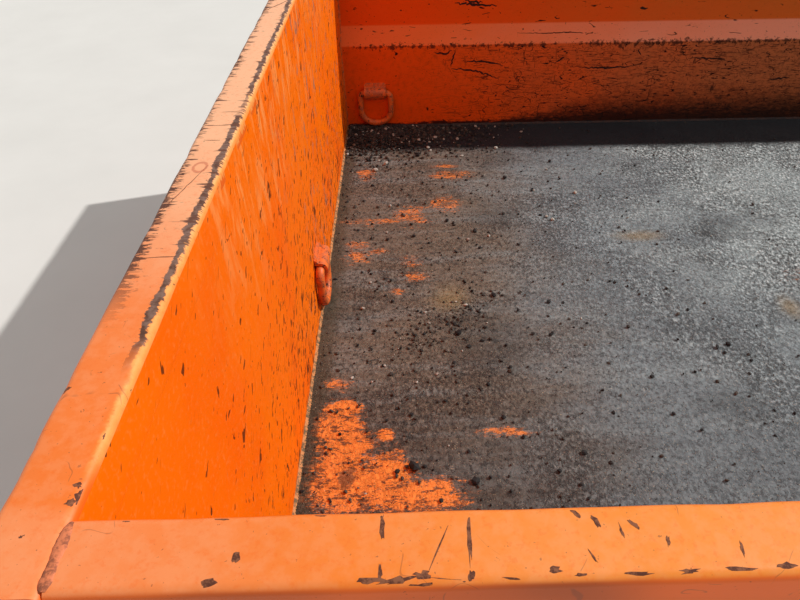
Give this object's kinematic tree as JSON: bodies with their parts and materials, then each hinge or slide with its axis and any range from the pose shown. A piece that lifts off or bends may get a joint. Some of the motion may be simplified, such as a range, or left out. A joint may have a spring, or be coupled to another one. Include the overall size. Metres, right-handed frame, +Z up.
{
  "type": "dump trailer body",
  "caption": "Open steel dump body with formed side walls, square tube rails, lashing rings, underframe sills, rear hinge bushes and a top-hung tailgate with a hook latch.",
  "frame": {"origin": "under the middle of the body, on the plane that the long sills stand on", "axes": "+X towards the bulkhead, which is the trailer's front, +Y towards its left side, +Z up"},
  "size_m": [3.1806, 1.9746, 0.8038],
  "materials": {
    "rail_paint": "faded orange paint, chipped and scratched",
    "wall_paint": "orange paint with scratches",
    "floor_wear": "worn steel under dirt with remnants of orange paint",
    "ring_paint": "orange paint, worn to steel",
    "frame_paint": "orange paint with road dirt",
    "bare_steel": "worn steel with rust"
  },
  "bodies": {
    "box": {"floor_plate": "floor_wear", "cross_members": "frame_paint", "rear_sill": "frame_paint", "long_sill_left": "frame_paint", "long_sill_right": "frame_paint", "hinge_bush_left": "bare_steel", "hinge_bush_right": "bare_steel", "hoist_lugs": "frame_paint", "side_wall_left": "wall_paint", "side_wall_right": "wall_paint", "side_rail_left": "rail_paint", "side_rail_right": "rail_paint", "lower_rail_left": "wall_paint", "lower_rail_right": "wall_paint", "side_stakes_left": "wall_paint", "side_stakes_right": "wall_paint", "front_post_left": "wall_paint", "front_post_right": "wall_paint", "rear_post_left": "wall_paint", "rear_post_right": "wall_paint", "gate_lug_left": "wall_paint", "gate_lug_right": "wall_paint", "shaft_hanger_left": "wall_paint", "shaft_hanger_right": "wall_paint", "front_wall": "wall_paint", "front_rail": "rail_paint", "front_lower_rail": "wall_paint", "front_stakes": "wall_paint", "ring_straps_left": "ring_paint", "ring_straps_right": "ring_paint", "ring_straps_front": "ring_paint"},
    "tailgate": {"gate_panel": "wall_paint", "gate_top_tube": "rail_paint", "gate_bottom_tube": "wall_paint", "gate_uprights": "wall_paint", "gate_end_left": "wall_paint", "gate_end_right": "wall_paint"},
    "latch": {"latch_shaft": "bare_steel", "latch_hook_left": "bare_steel", "latch_hook_right": "bare_steel", "latch_lever": "bare_steel"},
    "ring_front_left_body": {"ring_front_left": "ring_paint"},
    "ring_rear_left_body": {"ring_rear_left": "ring_paint"},
    "ring_front_right_body": {"ring_front_right": "ring_paint"},
    "ring_rear_right_body": {"ring_rear_right": "ring_paint"},
    "ring_bulkhead_body": {"ring_bulkhead": "ring_paint"}
  },
  "joints": [
    {"name": "tailgate_swing", "type": "hinge", "parent": "box", "child": "tailgate", "pos_m": [-1.52853, 0, 0.7798], "axis": [0, 1, 0], "range_deg": [0, 90]},
    {"name": "latch_turn", "type": "hinge", "parent": "box", "child": "latch", "pos_m": [-1.47053, 0, 0.066], "axis": [0, 1, 0], "range_deg": [0, 35]},
    {"name": "ring_front_left_swing", "type": "hinge", "parent": "box", "child": "ring_front_left_body", "pos_m": [1.43947, 0.9035, 0.3028], "axis": [-1, 0, 0], "range_deg": [0, 175]},
    {"name": "ring_rear_left_swing", "type": "hinge", "parent": "box", "child": "ring_rear_left_body", "pos_m": [-1.23253, 0.9035, 0.3028], "axis": [-1, 0, 0], "range_deg": [0, 175]},
    {"name": "ring_front_right_swing", "type": "hinge", "parent": "box", "child": "ring_front_right_body", "pos_m": [1.43947, -0.9035, 0.3028], "axis": [1, 0, 0], "range_deg": [0, 175]},
    {"name": "ring_rear_right_swing", "type": "hinge", "parent": "box", "child": "ring_rear_right_body", "pos_m": [-1.23253, -0.9035, 0.3028], "axis": [1, 0, 0], "range_deg": [0, 175]},
    {"name": "ring_bulkhead_swing", "type": "hinge", "parent": "box", "child": "ring_bulkhead_body", "pos_m": [1.52847, 0, 0.3028], "axis": [0, 1, 0], "range_deg": [0, 175]}
  ]
}
